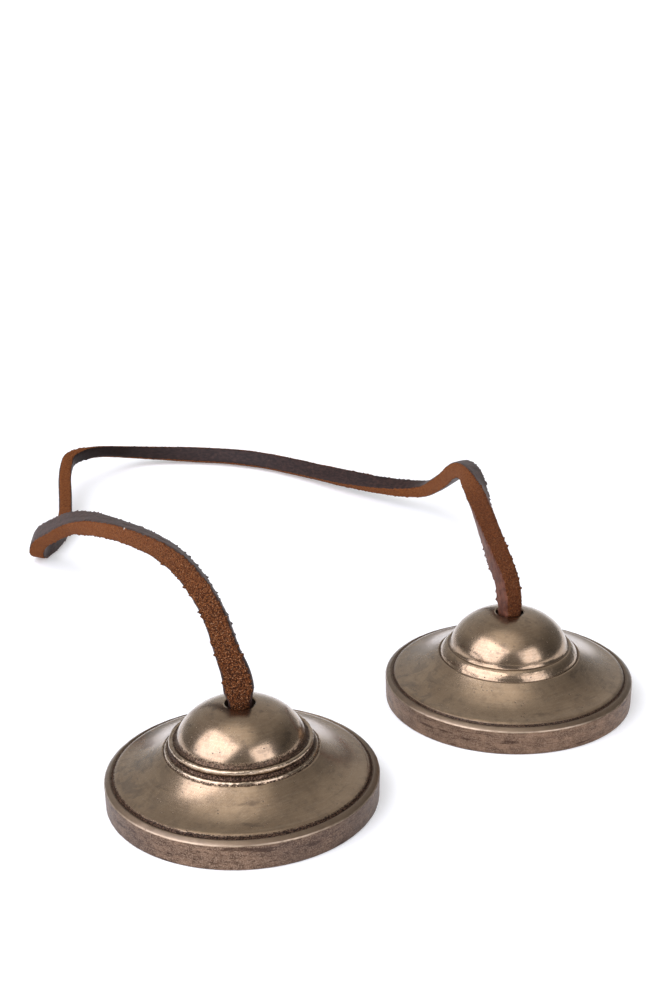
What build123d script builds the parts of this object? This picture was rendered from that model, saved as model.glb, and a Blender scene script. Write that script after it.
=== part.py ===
from build123d import *
import os
from math import cos, sin, pi, tan, radians

# Tingsha: two cast bronze hand cymbals joined by one leather thong.
# Millimetres, +Z up. The cymbals stand on their rims on the plane z = 0.
# Origin: on that plane, midway between the two cymbals.
# +X runs from the front cymbal's axis to the rear cymbal's axis.
os.makedirs("parts", exist_ok=True)

# ---------------------------------------------------------------- sizes
SPACING = 84.0          # distance between the two cymbal axes
RIM_R = 32.5            # outer radius of the rim (65 mm cymbal)
RIM_FOOT_R = 32.35      # outer radius of the rim's foot
RIM_IN_R = 27.2         # inner radius of the flat foot ring
SHOULDER_Z = 6.1        # top of the rim's side wall
FLANGE_R = 30.2         # outer end of the concave flange
FLANGE_Z = 7.65
LIP_R = 18.05           # inner end of the flange, at the dome's base
LIP_Z = 13.2
DOME_A = 15.29          # dome: radius, height of its centre plane, rise
DOME_Z0 = 15.28
DOME_H = 9.34
IN_A = 12.4             # hollow of the dome: radius, centre plane, rise
IN_Z0 = 13.2
IN_H = 9.1
HOLE_R = 3.65           # hole in the crown for the thong
THONG_D = 5.8           # round stand-in for the 5.7 x 5.0 mm thong
THONG_R = THONG_D / 2
PIVOT_Z = 23.1          # middle of the crown's wall, where the thong leans
STEM_R = 2.7            # thong between the crown and the knot
STEM_TOP_Z = 22.0
KNOT_R = 7.2            # knot under the crown: radius, half height, centre
KNOT_H = 5.2
KNOT_Z = 15.2
TAIL_R = 2.4            # short free end beyond the knot

FX = -SPACING / 2       # front cymbal's axis
RX = SPACING / 2        # rear cymbal's axis

# ------------------------------------------------- the thong's route
# From the front crown hole: up and over in an arch, down to the left, back
# and round behind, along the ground, up to a fold and down into the rear
# crown hole. Each point is a corner of the route; the arcs round it.
ROUTE = [
    (-42.0, 0.0, 23.1), (-42.0, 0.0, 30.2), (-41.6, 5.2, 34.8),
    (-39.2, 14.4, 41.6), (-36.5, 30.4, 46.1), (-32.8, 49.2, 44.9),
    (-29.0, 70.6, 40.9), (-25.4, 92.3, 35.8), (-22.1, 112.2, 30.4),
    (-19.8, 128.6, 24.9), (-18.8, 143.5, 17.6), (-17.3, 157.0, 10.4),
    (-15.2, 164.0, 2.9), (-7.2, 169.2, 2.9), (2.5, 179.5, 3.1),
    (10.5, 194.0, 4.6), (16.5, 206.5, 6.8), (21.0, 214.5, 9.3),
    (26.8, 222.2, 11.4), (40.5, 226.2, 9.9),
    (56.0, 230.6, 5.0), (75.0, 219.8, 3.1), (91.8, 201.0, 3.2),
    (100.0, 177.4, 3.4), (103.4, 155.2, 4.9), (107.4, 134.0, 6.6),
    (110.4, 118.0, 9.6), (103.2, 103.0, 17.4), (94.4, 87.0, 26.4),
    (83.0, 68.5, 36.8), (72.2, 51.2, 42.6), (59.4, 33.2, 42.6),
    (50.2, 18.6, 40.8), (44.5, 7.4, 36.4), (42.0, 0.0, 31.0),
    (42.0, 0.0, 23.1),
]


# ------------------------------------------------------------- cymbals
def dome_points(r_start, n, a, z0, h, pr, pz):
    """Points of a dome's profile from its foot, at radius r_start, to the
    crown hole's edge."""
    u0 = 0.0
    for i in range(4000):
        u = i * (pi / 2) / 4000
        if a * cos(u) ** pr <= r_start:
            u0 = u
            break
    u1 = u0
    for i in range(4000):
        u = i * (pi / 2) / 4000
        if a * cos(u) ** pr <= HOLE_R:
            u1 = u
            break
    pts = []
    for i in range(n + 1):
        u = u0 + (u1 - u0) * i / n
        pts.append((a * cos(u) ** pr, z0 + h * sin(u) ** pz))
    pts[-1] = (HOLE_R, pts[-1][1])
    return pts


def flange_z(r):
    """Height of the flange's upper side: nearly level at the rim, rising
    ever more steeply to the dome."""
    s = (FLANGE_R - r) / (FLANGE_R - LIP_R)
    return FLANGE_Z + 0.08 * (FLANGE_R - r) + (LIP_Z - FLANGE_Z - 0.97) * s ** 1.8


def flange_points(r_in, n=8):
    """Points from the rim groove inwards to radius r_in."""
    return [(FLANGE_R - (FLANGE_R - r_in) * i / n,
             flange_z(FLANGE_R - (FLANGE_R - r_in) * i / n)) for i in range(n + 1)]


def cymbal(base_points, dome_start):
    """One casting, turned about the Z axis: a flat foot ring, a plain side
    wall, a sloping band, a groove, the concave flange, the given steps at the
    dome's base, the dome, the crown hole and the hollow underneath."""
    rim = [
        (RIM_IN_R, 0.0),
        (RIM_FOOT_R - 0.3, 0.0), (RIM_FOOT_R, 0.3),
        (RIM_R, SHOULDER_Z), (RIM_R - 0.12, SHOULDER_Z + 0.25),
        (32.05, 6.52), (31.6, 6.9), (31.15, 7.2),
        (30.98, 6.85), (30.62, 6.72), (30.38, 7.0),
    ]
    flange = flange_points(base_points[0][0] + 0.15)
    dome = dome_points(dome_start, 16, DOME_A, DOME_Z0, DOME_H, 0.92, 1.197)
    hollow = dome_points(IN_A, 10, IN_A, IN_Z0, IN_H, 1.0, 1.0)
    hollow.reverse()
    under = [(13.0, 12.2), (16.0, 11.0), (20.0, 8.7), (24.0, 6.5),
             (26.0, 4.8), (26.9, 2.0)]
    # each smooth stretch is one curve; the steps and grooves are short lines
    crown_out = dome[-1]
    crown_in = hollow[0]
    with BuildSketch(Plane.XZ) as prof:
        with BuildLine():
            Polyline(*rim, flange[0])
            Spline(*flange)
            Polyline(flange[-1], *base_points, dome[0])
            Spline(*dome)
            Line(crown_out, crown_in)
            Spline(*hollow)
            Polyline(hollow[-1], *under, rim[0])
        make_face()
    with BuildPart() as bp:
        add(prof.sketch)
        revolve(axis=Axis.Z)
    return bp.part


# front cymbal: a fine line, a lip, a wide rough groove, a bead, a second
# rough groove
FRONT_BASE = [
    (18.42, 12.86), (18.26, 12.72), (18.10, 13.05), (17.92, 13.38),
    (17.62, 13.52), (17.22, 13.60), (16.98, 13.92), (16.86, 14.28),
    (16.98, 14.66), (17.08, 15.05), (17.02, 15.42), (16.76, 15.68),
    (16.38, 15.76), (16.08, 15.62), (15.78, 15.54), (15.45, 15.70),
]
# rear cymbal: a fine line, a plain rounded band, a second fine line
REAR_BASE = [
    (18.30, 12.80), (18.14, 12.66), (17.98, 12.95), (17.72, 13.55),
    (17.30, 14.18), (16.80, 14.75), (16.30, 15.12), (16.00, 15.18),
    (15.76, 15.08), (15.56, 15.16), (15.44, 15.36), (15.33, 15.60),
]
front_cymbal = cymbal(FRONT_BASE, 15.14).moved(Location((FX, 0, 0)))
rear_cymbal = cymbal(REAR_BASE, 15.22).moved(Location((RX, 0, 0)))


# --------------------------------------------------------------- thong
def vec(p):
    return Vector(*p)


def route_radii(points):
    """The largest arc that the two runs at each corner allow."""
    radii = []
    for a, b, c in zip(points, points[1:], points[2:]):
        u, w = vec(b) - vec(a), vec(c) - vec(b)
        turn = u.get_angle(w)
        r = 0.45 * min(u.length, w.length) / tan(radians(turn) / 2)
        radii.append(r)
        print("corner %6.1f %6.1f %5.1f  run %4.1f  turn %4.1f  radius %6.1f"
              % (b[0], b[1], b[2], u.length, turn, r))
    return radii


with BuildPart() as thong:
    with BuildLine() as path:
        FilletPolyline(*ROUTE, radius=route_radii(ROUTE))
    with BuildSketch(Plane(origin=ROUTE[0], z_dir=(0, 0, 1))):
        Circle(THONG_R)
    sweep(path=path.line)
leather_thong = thong.part
route_length = sum(e.length for e in path.line.edges())
print("thong length %.1f  volume %.0f  section x length %.0f" % (
    route_length, leather_thong.volume, pi * THONG_R ** 2 * route_length))


# The thong's two ends: each goes down through the crown hole and is tied in
# one plain knot, too big to pull back through, with a short tail.
def knot(x, side):
    ring = [(KNOT_R * cos(a), KNOT_Z + KNOT_H * sin(a))
            for a in [-pi / 2 + pi * i / 12 for i in range(13)]]
    with BuildPart() as k:
        with BuildSketch(Plane.XZ):
            with BuildLine():
                Spline(*[(max(r, 0.0), z) for r, z in ring],
                       tangents=((1, 0), (-1, 0)))
                Line((0, KNOT_Z + KNOT_H), (0, KNOT_Z - KNOT_H))
            make_face()
        revolve(axis=Axis.Z)
        with Locations((0, 0, KNOT_Z + KNOT_H / 2)):
            Cylinder(STEM_R, STEM_TOP_Z - KNOT_Z - KNOT_H / 2,
                     align=(Align.CENTER, Align.CENTER, Align.MIN))
        with BuildSketch(Plane(origin=(0, 3.0 * side, 12.2),
                               z_dir=(0, 9.0 * side, -2.4))):
            Circle(TAIL_R)
        extrude(amount=8.2)
    return k.part.moved(Location((x, 0, 0)))


front_knot = knot(FX, -1)
rear_knot = knot(RX, 1)

# --------------------------------------------------------------- output
for name, part in (
    ("front_cymbal", front_cymbal),
    ("rear_cymbal", rear_cymbal),
    ("leather_thong", leather_thong),
    ("front_knot", front_knot),
    ("rear_knot", rear_knot),
):
    part.label = name
    export_step(part, "parts/" + name + ".step")
    print(name, "volume mm3", round(part.volume, 1))
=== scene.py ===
import bpy
import math
import numpy as np
from mathutils import Matrix, Vector


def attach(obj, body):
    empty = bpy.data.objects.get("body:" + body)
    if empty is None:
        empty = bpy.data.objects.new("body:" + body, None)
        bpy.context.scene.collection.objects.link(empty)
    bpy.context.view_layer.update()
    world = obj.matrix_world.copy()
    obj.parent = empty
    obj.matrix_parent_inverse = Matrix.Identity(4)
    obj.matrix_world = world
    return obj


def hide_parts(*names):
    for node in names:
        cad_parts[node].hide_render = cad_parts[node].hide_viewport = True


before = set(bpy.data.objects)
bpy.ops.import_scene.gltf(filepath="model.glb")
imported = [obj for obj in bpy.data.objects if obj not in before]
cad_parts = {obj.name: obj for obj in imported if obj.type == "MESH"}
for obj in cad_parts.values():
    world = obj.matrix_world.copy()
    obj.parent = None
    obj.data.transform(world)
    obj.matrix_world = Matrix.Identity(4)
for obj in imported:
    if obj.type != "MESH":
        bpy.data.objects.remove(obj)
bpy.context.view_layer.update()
scene = bpy.context.scene
MM = 0.001


# ---------------------------------------------------------------- camera
# Fitted to the rims, domes and grooves of both cymbals, for a 666 x 1000
# picture with its centre on the optical axis.
CAM = np.array([-215.14, -277.97, 194.28])          # mm
TURN, PITCH, ROLL = math.radians(35.818), math.radians(20.181), -0.013518
fwd = np.array([math.sin(TURN) * math.cos(PITCH), math.cos(TURN) * math.cos(PITCH), -math.sin(PITCH)])
right = np.array([math.cos(TURN), -math.sin(TURN), 0.0])
up = np.cross(right, fwd)
c, s = math.cos(ROLL), math.sin(ROLL)
right2, up2 = c * right + s * up, c * up - s * right
cam_data = bpy.data.cameras.new("camera")
cam = bpy.data.objects.new("camera", cam_data)
scene.collection.objects.link(cam)
scene.camera = cam
cam_data.sensor_fit = "AUTO"
cam_data.sensor_width = 36.0
cam_data.lens = 1571.23 * 36.0 / 1000.0
cam_data.clip_start, cam_data.clip_end = 0.01, 100.0
m = Matrix.Identity(4)
for k in range(3):
    m[k][0], m[k][1], m[k][2], m[k][3] = right2[k], up2[k], -fwd[k], CAM[k] * MM
cam.matrix_world = m


# ----------------------------------------------------------------- noise
def hashed(ix, iy, iz, seed):
    """A number from 0 to 1 for each cell of a grid."""
    h = (ix.astype(np.int64) * 73856093) ^ (iy.astype(np.int64) * 19349663) ^ (iz.astype(np.int64) * 83492791) ^ (seed * 2654435761)
    h &= 0xFFFFFFFF
    h = (h ^ (h >> 16)) * 0x45D9F3B & 0xFFFFFFFF
    h = (h ^ (h >> 16)) * 0x45D9F3B & 0xFFFFFFFF
    return ((h ^ (h >> 16)) & 0xFFFFFF) / float(0xFFFFFF)


def noise(p, size, seed=0):
    """Smooth noise from -1 to 1 at points p, with features of that size."""
    q = np.asarray(p, float) / np.asarray(size, float)
    i = np.floor(q).astype(np.int64)
    f = q - i
    f = f * f * f * (f * (f * 6 - 15) + 10)
    out = 0.0
    for dx in (0, 1):
        wx = f[:, 0] if dx else 1 - f[:, 0]
        for dy in (0, 1):
            wy = f[:, 1] if dy else 1 - f[:, 1]
            for dz in (0, 1):
                wz = f[:, 2] if dz else 1 - f[:, 2]
                out = out + wx * wy * wz * hashed(i[:, 0] + dx, i[:, 1] + dy, i[:, 2] + dz, seed)
    return out * 2 - 1


def layers(p, size, seed=0, n=3, gain=0.5):
    out, amp, total = 0.0, 1.0, 0.0
    for k in range(n):
        out = out + amp * noise(p, np.asarray(size, float) / 2 ** k, seed + 17 * k)
        total += amp
        amp *= gain
    return out / total


def smooth(x, a, b):
    t = np.clip((np.asarray(x, float) - a) / (b - a), 0, 1)
    return t * t * (3 - 2 * t)


# --------------------------------------------------------------- meshes
def make_mesh(name, verts, faces, attributes=None, material=None, smooth_shade=True):
    """verts in mm."""
    me = bpy.data.meshes.new(name)
    me.from_pydata((np.asarray(verts) * MM).tolist(), [], faces)
    me.update()
    for key, values in (attributes or {}).items():
        values = np.asarray(values, np.float32)
        if values.ndim == 1:
            at = me.attributes.new(key, "FLOAT", "POINT")
            at.data.foreach_set("value", values)
        else:
            at = me.attributes.new(key, "FLOAT_VECTOR", "POINT")
            at.data.foreach_set("vector", values.ravel())
    me.polygons.foreach_set("use_smooth", [smooth_shade] * len(me.polygons))
    ob = bpy.data.objects.new(name, me)
    scene.collection.objects.link(ob)
    if material:
        me.materials.append(material)
    me.validate()
    return ob


def tube_faces(n, around, capped=True, start=0):
    faces = []
    for i in range(n - 1):
        a, b = start + i * around, start + (i + 1) * around
        for j in range(around):
            k = (j + 1) % around
            faces.append((a + j, a + k, b + k, b + j))
    return faces


# ------------------------------------------------------------- materials
def new_material(name):
    mat = bpy.data.materials.new(name)
    mat.use_nodes = True
    nt = mat.node_tree
    nt.nodes.clear()
    out = nt.nodes.new("ShaderNodeOutputMaterial")
    bsdf = nt.nodes.new("ShaderNodeBsdfPrincipled")
    nt.links.new(bsdf.outputs[0], out.inputs["Surface"])
    return mat, nt, bsdf


class Nodes:
    """Short names for the few node kinds used here."""

    def __init__(self, nt):
        self.nt = nt
        self.coord = nt.nodes.new("ShaderNodeTexCoord").outputs["Object"]

    def link(self, a, b):
        self.nt.links.new(a, b)

    def put(self, socket, value):
        if hasattr(value, "is_linked") or hasattr(value, "links"):
            self.link(value, socket)
        elif value is not None:
            socket.default_value = value

    def attr(self, name):
        n = self.nt.nodes.new("ShaderNodeAttribute")
        n.attribute_name = name
        return n.outputs["Fac"]

    def attr_vector(self, name):
        n = self.nt.nodes.new("ShaderNodeAttribute")
        n.attribute_name = name
        return n.outputs["Vector"]

    def mapping(self, scale, vector=None, location=(0, 0, 0), rotation=(0, 0, 0)):
        n = self.nt.nodes.new("ShaderNodeMapping")
        n.inputs["Scale"].default_value = scale
        n.inputs["Location"].default_value = location
        n.inputs["Rotation"].default_value = rotation
        self.link(vector or self.coord, n.inputs["Vector"])
        return n.outputs[0]

    def noise(self, per_mm, detail=3.0, rough=0.55, vector=None, distortion=0.0):
        """per_mm: features for each mm."""
        n = self.nt.nodes.new("ShaderNodeTexNoise")
        n.inputs["Scale"].default_value = per_mm * 1000.0
        n.inputs["Detail"].default_value = detail
        n.inputs["Roughness"].default_value = rough
        n.inputs["Distortion"].default_value = distortion
        self.link(vector or self.coord, n.inputs["Vector"])
        return n.outputs["Fac"]

    def cells(self, per_mm, vector=None, feature="F1", randomness=1.0, output="Distance"):
        n = self.nt.nodes.new("ShaderNodeTexVoronoi")
        n.feature = feature
        n.inputs["Scale"].default_value = per_mm * 1000.0
        n.inputs["Randomness"].default_value = randomness
        self.link(vector or self.coord, n.inputs["Vector"])
        return n.outputs[output]

    def math(self, op, a, b=None, clamp=False):
        n = self.nt.nodes.new("ShaderNodeMath")
        n.operation = op
        n.use_clamp = clamp
        self.put(n.inputs[0], a)
        if b is not None:
            self.put(n.inputs[1], b)
        return n.outputs[0]

    def span(self, value, a, b, lo=0.0, hi=1.0, kind="SMOOTHSTEP"):
        n = self.nt.nodes.new("ShaderNodeMapRange")
        n.interpolation_type = kind
        self.put(n.inputs["Value"], value)
        n.inputs["From Min"].default_value = a
        n.inputs["From Max"].default_value = b
        n.inputs["To Min"].default_value = lo
        n.inputs["To Max"].default_value = hi
        return n.outputs["Result"]

    def mix(self, fac, a, b, blend="MIX"):
        n = self.nt.nodes.new("ShaderNodeMix")
        n.data_type = "RGBA"
        n.blend_type = blend
        self.put(n.inputs[0], fac)
        for socket, v in ((n.inputs[6], a), (n.inputs[7], b)):
            self.put(socket, (*v, 1.0) if isinstance(v, tuple) and len(v) == 3 else v)
        return n.outputs[2]

    def bump(self, height, distance_mm, strength=1.0, normal=None):
        n = self.nt.nodes.new("ShaderNodeBump")
        n.inputs["Strength"].default_value = strength
        n.inputs["Distance"].default_value = distance_mm * MM
        self.link(height, n.inputs["Height"])
        if normal is not None:
            self.link(normal, n.inputs["Normal"])
        return n.outputs[0]


def bronze_material(name, seed):
    """Aged cast bronze: warm grey-gold, satin, with fine pits, short
    scratches, dark grain in the grooves and a rougher, browner side wall."""
    mat, nt, bsdf = new_material(name)
    n = Nodes(nt)
    off = n.mapping((1, 1, 1), location=(0.013 * seed, 0.007 * seed, 0.0))
    groove, speckle, wall, inside, edge, satin, wall_side_shade, left_blotch_and_shade = (n.attr(k) for k in ("groove", "speckle", "wall", "inside", "edge", "satin", "wall_side_shade", "left_blotch_and_shade"))
    polar = n.attr_vector("polar")
    cloud = n.noise(0.075, 3.0, 0.6, off)
    mottle = n.noise(0.42, 5.0, 0.62, off)
    grain = n.noise(3.4, 3.0, 0.6, off)
    fine = n.noise(2.2, 4.0, 0.7, off)
    base = n.mix(n.span(cloud, 0.34, 0.68), (0.286, 0.190, 0.115), (0.372, 0.257, 0.162))
    base = n.mix(n.span(mottle, 0.45, 0.72, 0.0, 0.55), base, (0.190, 0.126, 0.079))
    base = n.mix(n.span(n.noise(0.16, 4.0, 0.65, n.mapping((1, 1, 1), off, location=(0.3, 0.1, 0.2))), 0.56, 0.70, 0.0, 0.45), base, (0.145, 0.098, 0.066))
    base = n.mix(n.span(fine, 0.50, 0.72, 0.0, 0.30), base, (0.46, 0.35, 0.25))
    # turning marks: fine rings round the axis
    rings = n.noise(1.0, 3.0, 0.65, n.mapping((0.03, 1.9, 1.0), polar))
    base = n.mix(n.span(rings, 0.42, 0.68, 0.0, 0.22), base, (0.43, 0.325, 0.225))
    # tarnish: darker clouds drawn out round the axis
    tarnish = n.noise(0.20, 4.0, 0.66, n.mapping((0.55, 1.5, 1.0), polar))
    base = n.mix(n.span(tarnish, 0.57, 0.70, 0.0, 0.55), base, (0.112, 0.073, 0.048))
    # dark blotches on each flange towards the view's left: partly real blotches, partly painted shade
    base = n.mix(n.math("MULTIPLY", left_blotch_and_shade, n.span(n.noise(0.20, 4.0, 0.62, off, 0.5), 0.49, 0.60)), base, (0.100, 0.074, 0.060))
    # short scratches, crossed
    scratch = None
    for k, (rot, per) in enumerate(((0.5, 1.0), (1.35, 0.8), (2.4, 1.2), (2.95, 0.9))):
        v = n.mapping((0.10, 2.4 * per, 1.0), off, rotation=(0, 0, rot), location=(0.1 * k, 0.3 * k, 0))
        t_ = n.span(n.noise(1.5, 1.5, 0.5, v), 0.655, 0.70)
        scratch = t_ if scratch is None else n.math("MAXIMUM", scratch, t_)
    base = n.mix(n.math("MULTIPLY", scratch, 0.13), base, (0.55, 0.43, 0.31))
    # pits
    pit = n.span(n.cells(0.80, off), 0.150, 0.080)
    pit2 = n.span(n.cells(0.38, off), 0.075, 0.035)
    keep = n.span(n.noise(0.26, 2.0, 0.5, off), 0.52, 0.60)
    pits = n.math("MAXIMUM", n.math("MULTIPLY", pit, keep), pit2)
    base = n.mix(n.math("MULTIPLY", pits, 0.90), base, (0.035, 0.024, 0.017))
    # side wall: rough, pinkish brown, blotched, with finer level streaks
    blotch = n.noise(0.30, 4.0, 0.65, n.mapping((1, 1, 1.6), off))
    streak = n.noise(1.0, 4.0, 0.7, n.mapping((0.12, 2.2, 1.0), polar))
    wall_col = n.mix(n.span(blotch, 0.36, 0.62), (0.228, 0.144, 0.096), (0.126, 0.078, 0.053))
    wall_col = n.mix(n.span(streak, 0.46, 0.70, 0.0, 0.55), wall_col, (0.072, 0.044, 0.033))
    wall_col = n.mix(n.span(grain, 0.46, 0.62, 0.0, 0.80 if seed == 1 else 0.50), wall_col, (0.335, 0.232, 0.166))
    wall_col = n.mix(n.span(n.noise(1.9, 4.0, 0.72, n.mapping((0.60, 1.25, 1.0), polar)), 0.53, 0.63, 0.0, 0.70 if seed == 1 else 0.40), wall_col, (0.050, 0.029, 0.020))
    wall_col = n.mix(n.span(n.noise(0.45, 4.0, 0.62, n.mapping((0.30, 1.6, 1.0), polar)), 0.585, 0.66, 0.0, 0.75), wall_col, (0.048, 0.026, 0.018))
    base = n.mix(n.math("MULTIPLY", satin, 0.66), base, (0.112, 0.075, 0.048))
    # painted shade: the front side wall darker towards the view's left and right
    wall_col = n.mix(n.math("MULTIPLY", wall_side_shade, n.span(n.noise(0.16, 4.0, 0.65, off), 0.36, 0.60, 0.55, 1.0)), wall_col, (0.064, 0.046, 0.042))
    base = n.mix(wall, base, wall_col)
    # grooves: dark grain; round them the grain breaks up into specks
    dark = n.mix(n.span(n.noise(3.3, 2.5, 0.70, off), 0.45, 0.60), (0.013, 0.0065, 0.0045), (0.145, 0.086, 0.056))
    spots = n.span(n.noise(2.5, 3.5, 0.68, off), 0.455, 0.515)
    g = n.math("MULTIPLY", groove, n.span(n.noise(1.1, 3.0, 0.62, off), 0.28, 0.44, 0.70, 1.0))
    g = n.math("MAXIMUM", g, n.span(n.math("MULTIPLY", n.math("ADD", n.math("MULTIPLY", speckle, 1.15), 0.0), spots), 0.12, 0.75, 0.0, 0.95), clamp=True)
    base = n.mix(n.math("MULTIPLY", edge, n.span(n.noise(0.5, 3.0, 0.6, off), 0.36, 0.60, 0.30, 0.85)), base, (0.46, 0.355, 0.255))
    base = n.mix(g, base, dark)
    base = n.mix(n.math("MULTIPLY", inside, 0.85), base, n.mix(n.span(mottle, 0.4, 0.65), (0.075, 0.052, 0.036), (0.150, 0.107, 0.072)))
    n.link(base, bsdf.inputs["Base Color"])
    bsdf.inputs["Metallic"].default_value = 1.0
    rough = n.span(mottle, 0.35, 0.70, 0.195, 0.235)
    rough = n.math("ADD", rough, n.math("MULTIPLY", pits, 0.25))
    rough = n.math("ADD", rough, n.math("MULTIPLY", wall, 0.28))
    rough = n.math("ADD", rough, n.math("MULTIPLY", g, 0.30))
    rough = n.math("ADD", rough, n.math("MULTIPLY", satin, 0.27))
    rough = n.math("ADD", rough, n.math("MULTIPLY", inside, 0.20), clamp=True)
    n.link(rough, bsdf.inputs["Roughness"])
    n.link(n.math("SUBTRACT", 0.60, n.math("MULTIPLY", n.math("MAXIMUM", wall, g), 0.55)), bsdf.inputs["Coat Weight"])
    bsdf.inputs["Coat Roughness"].default_value = 0.28
    bsdf.inputs["Coat IOR"].default_value = 1.5
    h = n.math("MULTIPLY", grain, n.math("ADD", n.math("MULTIPLY", wall, 1.3), 0.14))
    h = n.math("SUBTRACT", h, n.math("MULTIPLY", pits, 0.9))
    h = n.math("ADD", h, n.math("MULTIPLY", n.noise(0.9, 3.0, 0.6, off), 0.10))
    h = n.math("ADD", h, n.math("MULTIPLY", rings, 0.12))
    h = n.math("SUBTRACT", h, n.math("MULTIPLY", g, 0.6))
    h = n.math("SUBTRACT", h, n.math("MULTIPLY", scratch, 0.03))
    n.link(n.bump(h, 0.055, 0.75), bsdf.inputs["Normal"])
    return mat


def leather_material(name):
    """A dyed thong: two smooth dark faces and two rough cut faces of brown
    suede. "dark" is 1 on the smooth faces, "shade" darkens a stretch, "near"
    marks where the nap stands up most and "worn" where the smooth faces are
    rubbed to a reddish brown."""
    mat, nt, bsdf = new_material(name)
    n = Nodes(nt)
    dark = n.attr("dark")
    shade = n.attr("shade")
    near = n.attr("near")
    worn = n.attr("worn")
    polar = n.attr_vector("polar")   # x along the thong, y round it, in m
    fibre = n.noise(2.1, 4.0, 0.70)
    curl = n.noise(2.6, 2.0, 0.6, n.mapping((1.0, 1.0, 1.0)), 1.2)
    tone = n.noise(0.20, 3.0, 0.6)
    wavy = n.nt.nodes.new("ShaderNodeVectorMath")
    wavy.operation = "MULTIPLY_ADD"
    warp = n.nt.nodes.new("ShaderNodeTexNoise")
    warp.inputs["Scale"].default_value = 1900.0
    warp.inputs["Detail"].default_value = 2.0
    n.link(n.coord, warp.inputs["Vector"])
    n.link(warp.outputs["Color"], wavy.inputs[0])
    wavy.inputs[1].default_value = (0.00055, 0.00055, 0.00055)
    n.link(n.coord, wavy.inputs[2])
    tuft = n.cells(2.55, wavy.outputs[0])
    strong = n.span(near, 0.0, 1.0, 0.16, 1.0, "LINEAR")
    suede = n.mix(n.span(fibre, 0.38, 0.62), (0.0682, 0.0199, 0.0078), (0.2130, 0.0682, 0.0192))
    suede = n.mix(n.span(curl, 0.47, 0.58, 0.0, 0.50), suede, (0.2769, 0.0994, 0.0327))
    suede = n.mix(n.span(tone, 0.36, 0.66, 0.0, 0.30), suede, (0.1562, 0.0454, 0.0121))
    suede = n.mix(n.math("MULTIPLY", near, 0.22), suede, (0.0568, 0.0163, 0.0071))
    suede = n.mix(n.math("MULTIPLY", strong, n.span(tuft, 0.36, 0.66, 0.0, 0.85)), suede, (0.0170, 0.0057, 0.0034))
    suede = n.mix(n.math("MULTIPLY", strong, n.math("MULTIPLY", n.span(tuft, 0.27, 0.08, 0.0, 0.62), n.span(n.noise(0.9, 3.0, 0.6), 0.40, 0.58, 0.15, 1.0))), suede, (0.4686, 0.2130, 0.0994))
    suede = n.mix(n.math("MULTIPLY", strong, n.span(n.noise(3.0, 3.0, 0.65), 0.58, 0.67, 0.0, 0.75)), suede, (0.5680, 0.2911, 0.1491))
    suede = n.mix(n.math("MULTIPLY", worn, 0.42), suede, (0.0600, 0.0170, 0.0080))
    far = n.nt.nodes.new("ShaderNodeVectorMath")
    far.operation = "DISTANCE"
    n.link(n.coord, far.inputs[0])
    far.inputs[1].default_value = (-0.03102, 0.07322, 0.04280)
    fleck = n.span(far.outputs["Value"], 0.00055, 0.00030)
    grain = n.noise(1.4, 3.0, 0.6, n.mapping((0.35, 1.0, 1.0), polar))
    smooth_face = n.mix(n.span(grain, 0.36, 0.66), (0.016, 0.0072, 0.0060), (0.046, 0.0215, 0.0180))
    smooth_face = n.mix(n.span(n.noise(0.8, 4.0, 0.6), 0.50, 0.72, 0.0, 0.6), smooth_face, (0.085, 0.041, 0.031))
    smooth_face = n.mix(n.math("MULTIPLY", shade, 0.9), smooth_face, (0.0080, 0.0028, 0.0019))
    smooth_face = n.mix(n.span(worn, 0.45, 0.95, 0.0, 0.88), smooth_face, n.mix(n.span(n.noise(0.5, 4.0, 0.65), 0.40, 0.62), (0.078, 0.0255, 0.0145), (0.150, 0.0520, 0.0290)))
    border = n.math("ADD", dark, n.math("MULTIPLY", n.math("SUBTRACT", n.noise(0.9, 4.0, 0.65), 0.5), 1.0))
    mask = n.span(border, 0.42, 0.58)
    n.link(n.mix(fleck, n.mix(mask, suede, smooth_face), (0.62, 0.56, 0.48)), bsdf.inputs["Base Color"])
    n.link(n.span(mask, 0.0, 1.0, 0.95, 0.55, "LINEAR"), bsdf.inputs["Roughness"])
    bsdf.inputs["Sheen Weight"].default_value = 0.02
    bsdf.inputs["Sheen Roughness"].default_value = 0.5
    bsdf.inputs["Sheen Tint"].default_value = (0.95, 0.70, 0.55, 1)
    n.link(n.span(mask, 0.0, 1.0, 0.05, 0.20, "LINEAR"), bsdf.inputs["Specular IOR Level"])
    h = n.mix(mask, n.math("SUBTRACT", n.math("ADD", n.math("MULTIPLY", fibre, 0.9), n.math("MULTIPLY", curl, 0.4)), n.math("MULTIPLY", n.math("MULTIPLY", strong, tuft), 1.1)), n.math("MULTIPLY", grain, 0.25))
    n.link(n.bump(h, 0.42, 0.9), bsdf.inputs["Normal"])
    return mat


bronze_front = bronze_material("bronze_front", 1)
bronze_rear = bronze_material("bronze_rear", 5)
leather = leather_material("leather")


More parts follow.
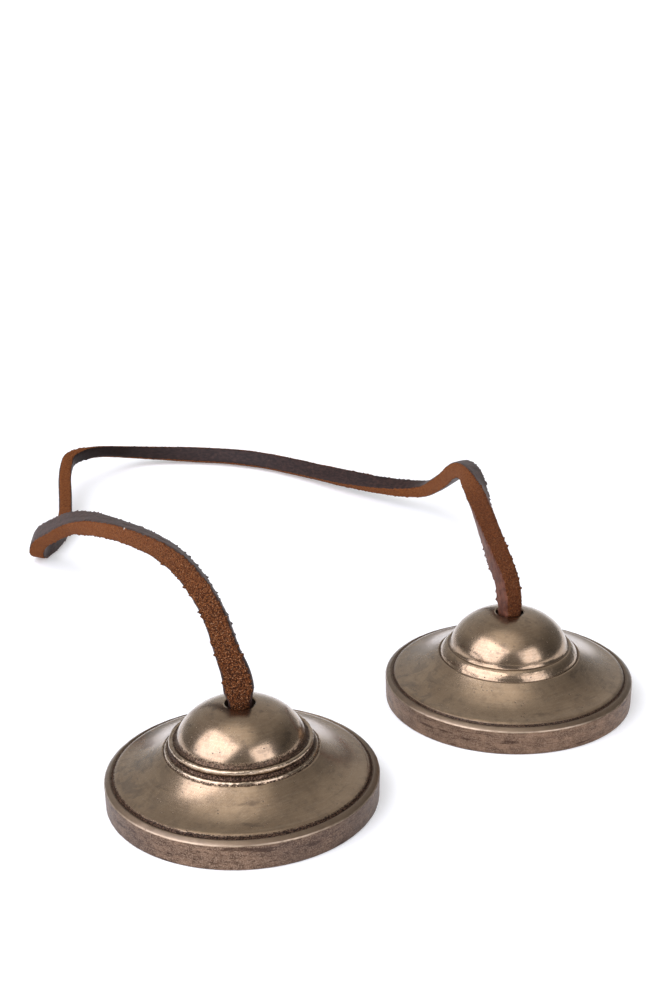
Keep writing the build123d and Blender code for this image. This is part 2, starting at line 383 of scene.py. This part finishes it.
# ----------------------------------------------------------------- thong
ROUTE = [
    (-42.0, 0.0, 23.1), (-42.0, 0.0, 30.2), (-41.6, 5.2, 34.8),
    (-39.2, 14.4, 41.6), (-36.5, 30.4, 46.1), (-32.8, 49.2, 44.9),
    (-29.0, 70.6, 40.9), (-25.4, 92.3, 35.8), (-22.1, 112.2, 30.4),
    (-19.8, 128.6, 24.9), (-18.8, 143.5, 17.6), (-17.3, 157.0, 10.4),
    (-15.2, 164.0, 2.9), (-7.2, 169.2, 2.9), (2.5, 179.5, 3.1),
    (10.5, 194.0, 4.6), (16.5, 206.5, 6.8), (21.0, 214.5, 9.3),
    (26.8, 222.2, 11.4), (40.5, 226.2, 9.9),
    (56.0, 230.6, 5.0), (75.0, 219.8, 3.1), (91.8, 201.0, 3.2),
    (100.0, 177.4, 3.4), (103.4, 155.2, 4.9), (107.4, 134.0, 6.6),
    (110.4, 118.0, 9.6), (103.2, 103.0, 17.4), (94.4, 87.0, 26.4),
    (83.0, 68.5, 36.8), (72.2, 51.2, 42.6), (59.4, 33.2, 42.6),
    (50.2, 18.6, 40.8), (44.5, 7.4, 36.4), (42.0, 0.0, 31.0),
    (42.0, 0.0, 23.1),
]


def spline_points(name, points, resolution):
    """Points, in mm, of the smooth line that has these control points."""
    cu = bpy.data.curves.new(name, "CURVE")
    cu.dimensions = "3D"
    sp = cu.splines.new("NURBS")
    sp.points.add(len(points) - 1)
    for p, q in zip(sp.points, points):
        p.co = (q[0] * MM, q[1] * MM, q[2] * MM, 1.0)
    sp.order_u = 3
    sp.use_endpoint_u = True
    sp.resolution_u = resolution
    cu.resolution_u = resolution
    ob = bpy.data.objects.new(name, cu)
    scene.collection.objects.link(ob)
    bpy.context.view_layer.update()
    me = bpy.data.meshes.new_from_object(ob)
    co = np.empty(len(me.vertices) * 3)
    me.vertices.foreach_get("co", co)
    bpy.data.objects.remove(ob)
    bpy.data.meshes.remove(me)
    bpy.data.curves.remove(cu)
    return co.reshape(-1, 3) / MM


def along(points):
    """Distance along the points, their directions, and a frame that turns
    as little as it can."""
    d = np.linalg.norm(np.diff(points, axis=0), axis=1)
    keep = np.r_[True, d > 1e-6]
    points = points[keep]
    dist = np.r_[0, np.cumsum(np.linalg.norm(np.diff(points, axis=0), axis=1))]
    tan_ = np.gradient(points, dist, axis=0)
    tan_ /= np.linalg.norm(tan_, axis=1)[:, None]
    r = np.zeros_like(points)
    first = np.array([1.0, 0, 0]) if abs(tan_[0][0]) < 0.9 else np.array([0, 1.0, 0])
    r[0] = first - tan_[0] * (first @ tan_[0])
    r[0] /= np.linalg.norm(r[0])
    for i in range(len(points) - 1):
        v1 = points[i + 1] - points[i]
        c1 = v1 @ v1
        rl = r[i] - (2 / c1) * (v1 @ r[i]) * v1
        tl = tan_[i] - (2 / c1) * (v1 @ tan_[i]) * v1
        v2 = tan_[i + 1] - tl
        c2 = v2 @ v2
        q = rl - (2 / c2) * (v2 @ rl) * v2 if c2 > 1e-18 else rl
        q = q - (q @ tan_[i + 1]) * tan_[i + 1]
        r[i + 1] = q / np.linalg.norm(q)
    return points, dist, tan_, r, np.cross(tan_, r)


def soft_steps(x, table, column):
    """A smooth line through a table's values."""
    xs = np.array([row[0] for row in table], float)
    ys = np.array([row[column] for row in table], float)
    out = np.interp(x, xs, ys)
    k = max(3, int(len(x) * 0.012)) | 1
    pad = np.r_[np.full(k, out[0]), out, np.full(k, out[-1])]
    w = np.hanning(k + 2)[1:-1]
    return np.convolve(pad, w / w.sum(), "same")[k:-k]


def section(around, corner=0.85, bulge=0.12):
    """A rounded oblong, of half sides 1 and 1: for each point round it, its
    place as given half sides hu, hv, and which face it lies on."""
    def at(hu, hv, corner, bulge):
        """hu, hv, corner, bulge: one for each ring, in mm."""
        hu, hv, corner, bulge = (np.asarray(a, float)[:, None] for a in (hu, hv, corner, bulge))
        # each quarter: half a dark face, a corner, half a brown face
        ang = (np.arange(around) / around) * 2 * np.pi
        cu, cv = np.cos(ang)[None, :], np.sin(ang)[None, :]
        # superellipse-like: a box of the inner size, grown by the corner radius
        iu, iv = hu - corner, hv - corner
        # walk round by angle, weighting so that points spread evenly
        t = (np.arange(around) / around)
        side_v, side_u, arc = 2 * iv, 2 * iu, np.pi / 2 * corner
        total = 2 * side_v + 2 * side_u + 4 * arc
        walk = t[None, :] * total
        # start in the middle of the +u face (a dark face), walk towards +v
        u = np.zeros_like(walk)
        v = np.zeros_like(walk)
        nu = np.zeros_like(walk)
        nv = np.zeros_like(walk)
        edges = np.concatenate([iv, arc, side_u, arc, side_v, arc, side_u, arc, iv], axis=1)
        ends = np.cumsum(edges, axis=1)
        starts = ends - edges
        for k in range(9):
            a0, a1 = starts[:, k:k + 1], ends[:, k:k + 1]
            inside = (walk >= a0) & (walk <= a1 + 1e-9) if k == 8 else (walk >= a0) & (walk < a1)
            w = walk - a0
            ph = w / np.maximum(arc, 1e-9)
            if k == 0:
                pu, pv, qu, qv = hu + 0 * w, w, 1 + 0 * w, 0 * w
            elif k == 1:
                pu, pv, qu, qv = iu + corner * np.cos(ph), iv + corner * np.sin(ph), np.cos(ph), np.sin(ph)
            elif k == 2:
                pu, pv, qu, qv = iu - w, hv + 0 * w, 0 * w, 1 + 0 * w
            elif k == 3:
                pu, pv, qu, qv = -iu - corner * np.sin(ph), iv + corner * np.cos(ph), -np.sin(ph), np.cos(ph)
            elif k == 4:
                pu, pv, qu, qv = -hu + 0 * w, iv - w, -1 + 0 * w, 0 * w
            elif k == 5:
                pu, pv, qu, qv = -iu - corner * np.cos(ph), -iv - corner * np.sin(ph), -np.cos(ph), -np.sin(ph)
            elif k == 6:
                pu, pv, qu, qv = -iu + w, -hv + 0 * w, 0 * w, -1 + 0 * w
            elif k == 7:
                pu, pv, qu, qv = iu + corner * np.sin(ph), -iv - corner * np.cos(ph), np.sin(ph), -np.cos(ph)
            else:
                pu, pv, qu, qv = hu + 0 * w, -iv + w, 1 + 0 * w, 0 * w
            for dst, src in ((u, pu), (v, pv), (nu, qu), (nv, qv)):
                dst[inside] = np.broadcast_to(src, walk.shape)[inside]
        # the dark faces bulge a little
        u = u + np.sign(u) * bulge * np.clip(1 - (v / hv) ** 2, 0, 1) * np.clip(np.abs(nu), 0, 1)
        return u, v, nu, nv
    return at


def leather_strip(name, points, rolls, hu, hv, corner, bulge, around, rough=1.0, shade=0.0, near=0.0, worn=0.0, floor=None, seed=0, round_ends=0.35):
    """A strip of leather along the points. rolls: turn of its dark face's
    normal in the frame of least turn, in degrees."""
    P, dist, T, R, B = along(points)
    rolls, hu, hv, corner, bulge, shade, near, worn, rough = (
        np.asarray(a, float) if np.ndim(a) else np.full(len(P), float(a))
        for a in (rolls, hu, hv, corner, bulge, shade, near, worn, rough))
    rag = np.repeat(rough, around)
    u, v, nu, nv = section(around)(hu, hv, corner, bulge)
    a = np.radians(rolls)[:, None]
    Nd = R * np.cos(a) + B * np.sin(a)        # normal of the dark face
    Nb = np.cross(T, Nd)                      # normal of the brown face
    pos = P[:, None, :] + Nd[:, None, :] * u[..., None] + Nb[:, None, :] * v[..., None]
    nor = Nd[:, None, :] * nu[..., None] + Nb[:, None, :] * nv[..., None]
    nor /= np.linalg.norm(nor, axis=2)[..., None]
    pos, nor = pos.reshape(-1, 3), nor.reshape(-1, 3)
    dark = (np.abs(nu) ** 2 / (np.abs(nu) ** 2 + np.abs(nv) ** 2 + 1e-9)).ravel()
    # distance along and round, as flat coordinates of the strip
    per = np.linspace(0, 1, around, endpoint=False)[None, :] * (4 * (hu + hv))[:, None]
    flat = np.stack([np.repeat(dist, around), per.ravel(), np.full(per.size, 7.0 + seed)], 1)
    brown = 1 - smooth(dark, 0.35, 0.75)
    # rough nap on the cut faces, ragged along their edges; fine wrinkles and
    # shallow waves on the smooth faces
    ragged = np.exp(-((dark - 0.42) / 0.30) ** 2)
    nap = layers(pos + 3.1 * seed, 1.0, 11 + seed, 3, 0.65)
    tufts = np.clip(0.8 * noise(pos + 40, 0.74, 31 + seed) + 0.8 * noise(pos + 70, 0.50, 33 + seed), -0.02, 1) + 0.02
    move = rag * (brown * (0.17 * nap + 0.02) + ragged * (1.0 * tufts + 0.12 * nap - 0.06))
    move = move + (1 - brown) * 0.045 * layers(flat, (1.6, 2.6, 5), 51 + seed, 2)
    move = move + 0.10 * layers(flat, (9.0, 7.0, 9), 71 + seed, 2)
    pos = pos + nor * move[:, None]
    if floor is not None:
        pos[:, 2] = np.where(pos[:, 2] < floor + 0.05, floor + 0.02 + 0.03 * (pos[:, 2] - floor < 0), pos[:, 2])
    # rounded ends: a few rings that shrink, then one middle point
    n = len(P)
    verts = pos.reshape(n, around, 3)
    both = np.stack([np.repeat(shade, around), np.repeat(near, around), np.repeat(worn, around)], 1).reshape(n, around, 3)
    rings, rdark, rshade, rflat = [verts], [dark.reshape(n, around)], [both], [flat.reshape(n, around, 3)]
    for where, sgn in ((0, -1), (n - 1, 1)):
        caps = []
        for q in (0.35, 0.7, 0.95):
            sh = math.sqrt(max(0.0, 1 - q * q))
            caps.append(P[where] + (verts[where] - P[where]) * (0.55 + 0.45 * sh if q < 0.95 else 0.45) + T[where] * sgn * round_ends * q)
        caps = np.array(caps)
        if sgn < 0:
            rings.insert(0, caps[::-1])
            rdark.insert(0, np.zeros((3, around))); rshade.insert(0, np.zeros((3, around, 3))); rflat.insert(0, np.repeat(flat.reshape(n, around, 3)[:1], 3, 0))
        else:
            rings.append(caps)
            rdark.append(np.zeros((3, around))); rshade.append(np.zeros((3, around, 3))); rflat.append(np.repeat(flat.reshape(n, around, 3)[-1:], 3, 0))
    V = np.concatenate(rings).reshape(-1, 3)
    D, S_, FL = np.concatenate(rdark).ravel(), np.concatenate(rshade).reshape(-1, 3), np.concatenate(rflat).reshape(-1, 3)
    total = n + 6
    faces = tube_faces(total, around)
    first, last = V[:around].mean(0), V[-around:].mean(0)
    V = np.vstack([V, first, last])
    D, S_ = np.r_[D, 0, 0], np.vstack([S_, S_[:2]])
    FL = np.vstack([FL, FL[0], FL[-1]])
    i0, i1 = len(V) - 2, len(V) - 1
    base = (total - 1) * around
    for j in range(around):
        k = (j + 1) % around
        faces.append((i0, k, j))
        faces.append((i1, base + j, base + k))
    return make_mesh(name, V, faces, {"dark": D, "shade": S_[:, 0], "near": S_[:, 1], "worn": S_[:, 2], "polar": FL * MM}, leather), P


# distance in mm, turn in degrees, share of full size, shade
THONG = [
    (0, -31.9, 1.00, 0.0), (10, -31.6, 1.00, 0.0), (20, -33.4, 1.00, 0.0), (40, -51.1, 0.99, 0.0),
    (56, -71.0, 0.96, 0.0), (71, -85.6, 0.92, 0.0), (96, -96.7, 0.94, 0.0), (115, -109.9, 1.00, 0.0),
    (128, -125.0, 1.01, 0.0), (144, -145.5, 1.00, 0.0), (156, -156.0, 0.99, 0.0), (168, -156.5, 0.99, 0.0),
    (176, -158.0, 0.99, 0.0), (184, -161.0, 0.98, 0.2), (196, -166.0, 0.94, 0.5), (210, -162.5, 0.88, 0.5),
    (222, -161.8, 0.85, 0.4), (234, -161.5, 0.85, 0.4), (246, -157.5, 0.84, 0.6), (255, -157.5, 0.80, 0.8),
    (262, -165.0, 0.76, 1.0), (268, -177.0, 0.73, 1.0), (276, -180.2, 0.72, 1.0), (286, -181.0, 0.75, 0.9),
    (300, -182.4, 0.86, 0.8), (312, -183.5, 0.97, 0.6), (350, -186.2, 1.00, 0.5), (384, -193.1, 1.00, 0.5),
    (400, -207.0, 0.91, 0.5), (412, -222.0, 0.87, 0.4), (424, -234.0, 0.87, 0.3), (438, -238.0, 0.92, 0.2),
    (452, -236.0, 0.95, 0.0), (466, -237.0, 0.97, 0.0), (480, -249.0, 0.98, 0.0), (494, -264.0, 0.96, 0.0),
    (504, -278.0, 0.96, 0.0), (512, -295.0, 0.99, 0.0),
    (526, -326.0, 1.04, 0.0), (540, -341.0, 1.05, 0.0), (549, -348.0, 1.02, 0.0), (556, -356.0, 1.00, 0.0),
    (562, -362.0, 0.97, 0.0), (568, -371.0, 0.98, 0.0), (575.5, -367.0, 0.95, 0.0),
]
line, line_dist, _, _, _ = along(spline_points("thong_line", ROUTE, 40))
share = soft_steps(line_dist, THONG, 2)
near_front = 1 - smooth(line_dist, 8, 26)
front_end = 1 - smooth(line_dist, 3.0, 6.0)
tight = 1 - smooth(line_dist, 1.6, 3.2)
rear_end = smooth(line_dist, line_dist[-1] - 5.0, line_dist[-1] - 2.0)
hu = 2.50 * share + np.interp(line_dist, [0, 1.8, 2.8, 4.5, 8, 13, 24, 40, 62], [0.12, 0.16, 0.46, 0.92, 0.74, 0.36, 0.16, 0.06, 0.0]) - 0.05 * rear_end
hv = 2.85 * share - 0.25 * near_front - 0.15 * front_end - 0.20 * tight - 0.15 * rear_end
corner = 0.85 + 0.30 * near_front + 0.40 * front_end + 0.35 * tight + 0.65 * rear_end
bulge = 0.12 + 0.10 * near_front * (1 - front_end)
thong, thong_path = leather_strip(
    "thong", line, soft_steps(line_dist, THONG, 1), hu, hv, corner, bulge, 72,
    shade=soft_steps(line_dist, THONG, 3), floor=0.0, seed=1,
    worn=np.interp(line_dist, [0, 496, 508, 524, 534, 577], [0.0, 0.0, 0.25, 0.40, 1.0, 1.0]),
    near=np.interp(line_dist, [0, 12, 40, 80, 110, 505, 530, 560, 576], [1.0, 0.95, 0.72, 0.30, 0.0, 0.0, 0.25, 0.5, 0.6]),
    rough=np.interp(line_dist, [0, 2, 4, 8, 30, 45, 60, 90, 115, 130, 430, 506, 524, 560, 575], [0.25, 0.3, 0.9, 1.25, 1.2, 0.85, 0.5, 0.45, 0.5, 0.4, 0.3, 0.35, 0.60, 0.75, 0.5]))
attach(thong, "thong")
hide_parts("leather_thong")


# ----------------------------------------------------------------- knots
def knot(name, x, side, body, node, seed):
    """One plain overhand knot, drawn tight: down out of the crown, over and
    round three lobes, and out sideways as a short tail."""
    a, b, z0 = 1.86, 1.90, 15.2
    pts = [(0, 0, 23.4), (0, 0, 21.8), (0, 0, 20.3), (-0.25 * a, -0.35 * a, 19.0), (-0.40 * a, -1.45 * a, 18.3), (0.15 * a, -2.35 * a, 17.5)]
    for u in np.linspace(math.pi + 0.42, 3 * math.pi - 0.36, 27):
        pts.append((a * (math.sin(u) + 2 * math.sin(2 * u)), a * (math.cos(u) - 2 * math.cos(2 * u)), z0 - b * math.sin(3 * u)))
    pts += [(-0.15 * a, -3.05 * a, 12.9), (0.45, -7.2, 12.0), (0.35, -9.2, 11.2), (0.20, -10.9, 10.5)]
    pts = [(x - side * p[0], -side * p[1], p[2]) for p in pts]
    kp, kd, _, _, _ = along(spline_points(name + "_line", pts, 10))
    size = np.interp(kd, [0, 2.2, 5.0, kd[-1] - 7, kd[-1]], [2.42, 2.40, 1.90, 1.90, 2.05])
    ob, path = leather_strip(name, kp, 60 + 70 * kd / kd[-1], size * 0.97, size, 1.15, 0.08, 44, rough=0.55, seed=seed)
    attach(ob, body)
    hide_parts(node)
    return ob


knot_front = knot("knot_front", -42.0, -1, "front_knot", "front_knot", 3)
knot_rear = knot("knot_rear", 42.0, 1, "rear_knot", "rear_knot", 4)


# --------------------------------------------------------------- cymbals
RIM = [(27.2, 0.0), (32.05, 0.0), (32.35, 0.3), (32.5, 6.1), (32.36, 6.42), (32.05, 6.66),
       (31.6, 6.94), (31.15, 7.16), (30.98, 6.90), (30.66, 6.82), (30.40, 7.12)]
FRONT_BASE = [
    (18.42, 12.86), (18.26, 12.72), (18.10, 13.05), (17.92, 13.38),
    (17.62, 13.52), (17.22, 13.60), (16.98, 13.92), (16.86, 14.28),
    (16.98, 14.66), (17.08, 15.05), (17.02, 15.42), (16.76, 15.68),
    (16.38, 15.76), (16.08, 15.62), (15.78, 15.54), (15.45, 15.70),
]
REAR_BASE = [
    (18.30, 12.80), (18.14, 12.66), (17.98, 12.95), (17.72, 13.55),
    (17.30, 14.18), (16.80, 14.75), (16.30, 15.12), (16.00, 15.18),
    (15.76, 15.08), (15.56, 15.16), (15.44, 15.36), (15.33, 15.60),
]


def dome(a, z0, h, pr, pz, r_from, r_to, n):
    u = np.linspace(0, np.pi / 2, 4000)
    r, z = a * np.cos(u) ** pr, z0 + h * np.sin(u) ** pz
    uu = np.linspace(u[np.argmax(r <= r_from)], u[np.argmax(r <= r_to)], n)
    return np.stack([a * np.cos(uu) ** pr, z0 + h * np.sin(uu) ** pz], 1)


def flange_z(r):
    s_ = (30.2 - r) / (30.2 - 18.05)
    return 7.65 + 0.08 * (30.2 - r) + (13.2 - 7.65 - 0.97) * s_ ** 1.8 - 0.20 * smooth(r, 29.3, 30.2)


def resample(pts, step):
    """Points along short lines with a given spacing, keeping the corners."""
    out = [pts[0]]
    for a, b in zip(pts[:-1], pts[1:]):
        n = max(1, int(round(np.linalg.norm(np.subtract(b, a)) / step)))
        for k in range(1, n + 1):
            out.append(tuple(np.add(a, np.subtract(b, a) * k / n)))
    return out


def cymbal_profile(base, dome_start):
    """Outline from the foot ring's inner edge round the outside to the crown
    hole, and back along the hollow, with each point's kind."""
    parts = []      # (points, kind)
    parts.append((resample(RIM[0:2], 0.8), "foot"))
    parts.append((resample(RIM[1:4], 0.22)[1:], "wall"))
    parts.append((resample(RIM[3:8], 0.12)[1:], "edge"))
    parts.append((resample(RIM[7:11] + [(30.2, flange_z(30.2))], 0.11)[1:], "groove"))
    r_in = base[0][0] + 0.15
    fr = np.linspace(30.2, r_in, 42)[1:]
    parts.append(([(r, flange_z(r)) for r in fr], "flange"))
    parts.append((resample([(r_in, flange_z(r_in))] + base, 0.09)[1:], "base"))
    dm = dome(15.29, 15.28, 9.34, 0.92, 1.197, dome_start, 3.65, 46)
    parts.append(([tuple(p) for p in dm], "dome"))
    hl = dome(12.4, 13.2, 9.1, 1.0, 1.0, 12.4, 3.65, 14)[::-1]
    parts.append((resample([tuple(dm[-1]), tuple(hl[0])], 0.35)[1:-1], "hole"))
    parts.append(([tuple(p) for p in hl], "inside"))
    under = [(12.4, 13.2), (13.0, 12.2), (16.0, 11.0), (20.0, 8.7), (24.0, 6.5), (26.0, 4.8), (26.9, 2.0), (27.2, 0.0)]
    parts.append((resample(under, 0.9)[1:-1], "inside"))
    pts, kinds = [], []
    for p, k in parts:
        pts += [tuple(map(float, q)) for q in p]
        kinds += [k] * len(p)
    return np.array(pts), np.array(kinds)


def cymbal(name, x, base, dome_start, body, node, material, seed, rough_base):
    prof, kinds = cymbal_profile(base, dome_start)
    m_ = len(prof)
    # relax sharp corners of the steps a little, as casting and wear do
    sm = prof.copy()
    soft = np.isin(kinds, ("base", "groove", "edge"))
    for _ in range(2):
        nxt, prv = np.roll(sm, -1, 0), np.roll(sm, 1, 0)
        sm = np.where(soft[:, None], 0.5 * sm + 0.25 * (nxt + prv), sm)
    soft = np.isin(kinds, ("groove", "edge"))
    for _ in range(2):
        nxt, prv = np.roll(sm, -1, 0), np.roll(sm, 1, 0)
        sm = np.where(soft[:, None], 0.5 * sm + 0.25 * (nxt + prv), sm)
    prof = sm
    tan_ = np.roll(prof, -1, 0) - np.roll(prof, 1, 0)
    nrm = np.stack([tan_[:, 1], -tan_[:, 0]], 1)
    nrm /= np.linalg.norm(nrm, axis=1)[:, None]
    around = 440
    th = np.linspace(0, 2 * np.pi, around, endpoint=False)
    r, z = prof[:, 0][None, :], prof[:, 1][None, :]
    ct, st_ = np.cos(th)[:, None], np.sin(th)[:, None]
    P = np.stack([r * ct, r * st_, z + 0 * ct], 2).reshape(-1, 3)
    N = np.stack([nrm[:, 0][None, :] * ct, nrm[:, 0][None, :] * st_, nrm[:, 1][None, :] + 0 * ct], 2).reshape(-1, 3)
    kind = np.tile(kinds, around)
    q = P + seed * 50.0
    amp = np.zeros(len(P))
    move = 0.022 * layers(q, 12.0, 1 + seed, 2)
    is_ = {k: (kind == k) for k in ("foot", "wall", "edge", "groove", "flange", "base", "dome", "hole", "inside")}
    move += np.where(is_["flange"] | is_["dome"], 0.009 * layers(q, 3.2, 3 + seed, 2), 0)
    move += np.where(is_["wall"], 0.055 * layers(q, 1.3, 5 + seed, 3, 0.6), 0)
    move += np.where(is_["edge"], 0.045 * layers(q, 1.8, 6 + seed, 2, 0.6), 0)
    move += np.where(is_["groove"], 0.060 * layers(q, 1.1, 7 + seed, 3, 0.6), 0)
    move += np.where(is_["base"], rough_base * layers(q, 0.9, 9 + seed, 3, 0.6), 0)
    move += np.where(is_["inside"], 0.11 * layers(q, 2.6, 13 + seed, 3, 0.6), 0)
    move = np.where(is_["foot"], 0.0, move)
    P = P + N * move[:, None]
    P[:, 2] = np.maximum(P[:, 2], 0.0)
    # painted shade: the front cymbal's side wall is darker towards the view's left and right, standing in for dimmer
    # reflections there
    aside = P @ right
    wall_side_shade = 0.0 * aside
    # darker blotches on the flange and rim edge towards the view's left: partly real blotches, partly painted shade
    left_blotch_and_shade = (is_["flange"] | is_["edge"]) * (0.40 if seed == 1 else 0.38) * smooth(-aside, 10.0, 25.0)
    if seed == 1:
        wall_side_shade = 0.55 * smooth(aside, 0.0, 13.0) + 0.50 * smooth(-aside, 13.0, 27.0)
    P[:, 0] += x
    # where the dark grain, the specks and the worn bright edges are
    rr, zz = prof[:, 0], prof[:, 1]
    in_base, on_dome = kinds == "base", kinds == "dome"
    band = lambda v, a, b_, soft: smooth(v, a - soft, a + soft) * (1 - smooth(v, b_ - soft, b_ + soft))
    if seed == 1:
        g = in_base * band(zz, 13.53, 14.66, 0.09) * band(rr, 16.75, 17.62, 0.05)
        g = np.maximum(g, 0.85 * in_base * band(rr, 15.30, 15.96, 0.06))
        g = np.maximum(g, 0.75 * on_dome * (1 - smooth(zz, 16.20, 16.50)))
        sp = in_base * band(rr, 15.20, 16.06, 0.05) * (zz > 15.3)
        sp = np.maximum(sp, on_dome * (1 - smooth(zz, 16.30, 17.10)))
        sp = np.maximum(sp, 0.8 * in_base * band(zz, 13.44, 14.68, 0.08) * (rr > 16.7))
        sp = np.maximum(sp, 0.95 * band(rr, 18.10, 18.46, 0.05) * (zz < 13.2) * (zz > 12.0) * (in_base | (kinds == "flange")))
        edge_b = in_base * (band(rr, 17.62, 18.06, 0.05) + 0.85 * band(zz, 14.90, 15.85, 0.10) * band(rr, 16.15, 17.12, 0.06))
    else:
        g = np.maximum(0.70 * in_base * band(rr, 18.05, 18.25, 0.05), 0.55 * in_base * band(rr, 15.58, 15.84, 0.05))
        sp = 0.35 * np.maximum(in_base * band(rr, 18.00, 18.32, 0.06), in_base * band(rr, 15.52, 15.90, 0.06))
        edge_b = 0 * rr
    rim_groove = (kinds == "groove") | (kinds == "edge")
    if seed == 1:
        g = np.maximum(g, (rim_groove | (kinds == "flange")) * band(rr, 30.22, 30.78, 0.05))
        sp = np.maximum(sp, 0.85 * (rim_groove | (kinds == "flange")) * band(rr, 30.02, 30.90, 0.08))
    else:
        g = np.maximum(g, 0.90 * (rim_groove | (kinds == "flange")) * band(rr, 30.26, 30.74, 0.05))
        sp = np.maximum(sp, 0.40 * (rim_groove | (kinds == "flange")) * band(rr, 30.10, 30.86, 0.06))
    wall = np.where(kinds == "wall", 1.0, 0.0)
    wall = np.maximum(wall, np.where(kinds == "edge", 1 - smooth(zz, 6.10, 6.30), 0))
    wall = np.maximum(wall, (kinds == "foot") * 1.0)
    inside = np.where((kinds == "inside") | (kinds == "hole"), 1.0, 0.0)
    edge = np.where(kinds == "edge", 0.8 * band(zz, 6.14, 6.42, 0.06), 0) + edge_b
    satin = np.where(rim_groove | (kinds == "flange"), smooth(rr, 29.9, 30.3) * (1 - 0.35 * smooth(rr, 32.18, 32.36)), 0) * (zz > 6.2)
    rep = lambda a: np.tile(a, around)
    polar = np.stack([np.repeat(th, m_) * 20, rep(np.cumsum(np.r_[0, np.linalg.norm(np.diff(prof, axis=0), axis=1)])), np.full(len(P), 3.0 * seed)], 1)
    faces = []
    for i in range(around):
        a, b = i * m_, ((i + 1) % around) * m_
        for j in range(m_):
            k = (j + 1) % m_
            faces.append((a + j, b + j, b + k, a + k))
    ob = make_mesh(name, P, faces, {"groove": rep(g), "speckle": rep(sp), "wall": rep(wall), "inside": rep(inside), "edge": rep(edge), "satin": rep(satin), "wall_side_shade": wall_side_shade, "left_blotch_and_shade": left_blotch_and_shade, "polar": polar * MM}, material)
    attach(ob, body)
    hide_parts(node)
    return ob


cymbal_front = cymbal("cymbal_front", -42.0, FRONT_BASE, 15.14, "front_cymbal", "front_cymbal", bronze_front, 1, 0.085)
cymbal_rear = cymbal("cymbal_rear", 42.0, REAR_BASE, 15.22, "rear_cymbal", "rear_cymbal", bronze_rear, 2, 0.035)


# ------------------------------------------------------------ floor, light
mat, nt, bsdf = new_material("floor")
n = Nodes(nt)
n.link(n.mix(n.noise(0.01, 2.0, 0.5), (0.76, 0.76, 0.763), (0.78, 0.78, 0.78)), bsdf.inputs["Base Color"])
bsdf.inputs["Roughness"].default_value = 0.8
bsdf.inputs["Specular IOR Level"].default_value = 0.2
length = nt.nodes.new("ShaderNodeVectorMath")
length.operation = "LENGTH"
nt.links.new(n.coord, length.inputs[0])
nt.links.new(n.span(length.outputs["Value"], 0.25, 1.1, 0.30, 0.80), bsdf.inputs["Emission Strength"])
bsdf.inputs["Emission Color"].default_value = (1, 1, 1, 1)
floor = make_mesh("floor", [(-20000, -20000, -0.02), (20000, -20000, -0.02), (20000, 20000, -0.02), (-20000, 20000, -0.02)], [(0, 1, 2, 3)], None, mat, False)


def area(name, azimuth, elevation, distance, w, h, power, colour=(1, 1, 1), target=(0.0, 0.04, 0.01)):
    """A soft box. azimuth is measured from the camera's forward direction,
    towards its right."""
    a, e = math.radians(azimuth), math.radians(elevation)
    flat = math.cos(a) * np.array([math.sin(TURN), math.cos(TURN), 0]) + math.sin(a) * right
    d = flat * math.cos(e) + np.array([0, 0, math.sin(e)])
    li = bpy.data.lights.new(name, "AREA")
    li.shape = "RECTANGLE"
    li.size, li.size_y = w, h
    li.energy = power
    li.color = colour
    ob = bpy.data.objects.new(name, li)
    scene.collection.objects.link(ob)
    ob.location = Vector(target) + Vector(d * distance)
    ob.rotation_mode = "QUATERNION"
    ob.rotation_quaternion = Vector(-d).to_track_quat("-Z", "Y")
    return ob


area("softbox_left", -125, 38, 1.3, 1.55, 1.50, 3.3 * math.pi * 2.33, (0.975, 0.995, 1.13))
area("softbox_right", 138, 29, 1.5, 0.90, 1.10, 2.5 * math.pi * 0.99, (0.98, 1.0, 1.13))

# the studio round it: a pale backdrop on the far side, a dim room behind the
# camera and to the right, and a ceiling that catches the left soft box
world = bpy.data.worlds.new("world")
scene.world = world
world.use_nodes = True
wn = world.node_tree
wn.nodes.clear()
w = Nodes(wn)
wout = wn.nodes.new("ShaderNodeOutputWorld")
bg = wn.nodes.new("ShaderNodeBackground")
wn.links.new(bg.outputs[0], wout.inputs[0])
sky = wn.nodes.new("ShaderNodeTexCoord").outputs["Generated"]


def towards(azimuth, elevation):
    dot = wn.nodes.new("ShaderNodeVectorMath")
    dot.operation = "DOT_PRODUCT"
    wn.links.new(sky, dot.inputs[0])
    a, e = math.radians(azimuth), math.radians(elevation)
    flat = math.cos(a) * np.array([math.sin(TURN), math.cos(TURN), 0]) + math.sin(a) * right
    dot.inputs[1].default_value = tuple(flat * math.cos(e) + np.array([0, 0, math.sin(e)]))
    return dot.outputs["Value"]


level = w.span(towards(0, 10), -0.20, 0.92, 0.31, 0.54)
level = w.math("ADD", level, w.span(towards(-140, 74), 0.80, 0.99, 0.0, 1.0))
level = w.math("MULTIPLY", level, w.span(towards(75, 0), 0.50, 0.90, 1.0, 0.42))
level = w.math("MULTIPLY", level, w.span(towards(-75, 0), 0.70, 0.97, 1.0, 0.62))
wn.links.new(level, bg.inputs["Strength"])
bg.inputs["Color"].default_value = (1.0, 0.995, 0.985, 1)
scene.view_settings.view_transform = "Standard"
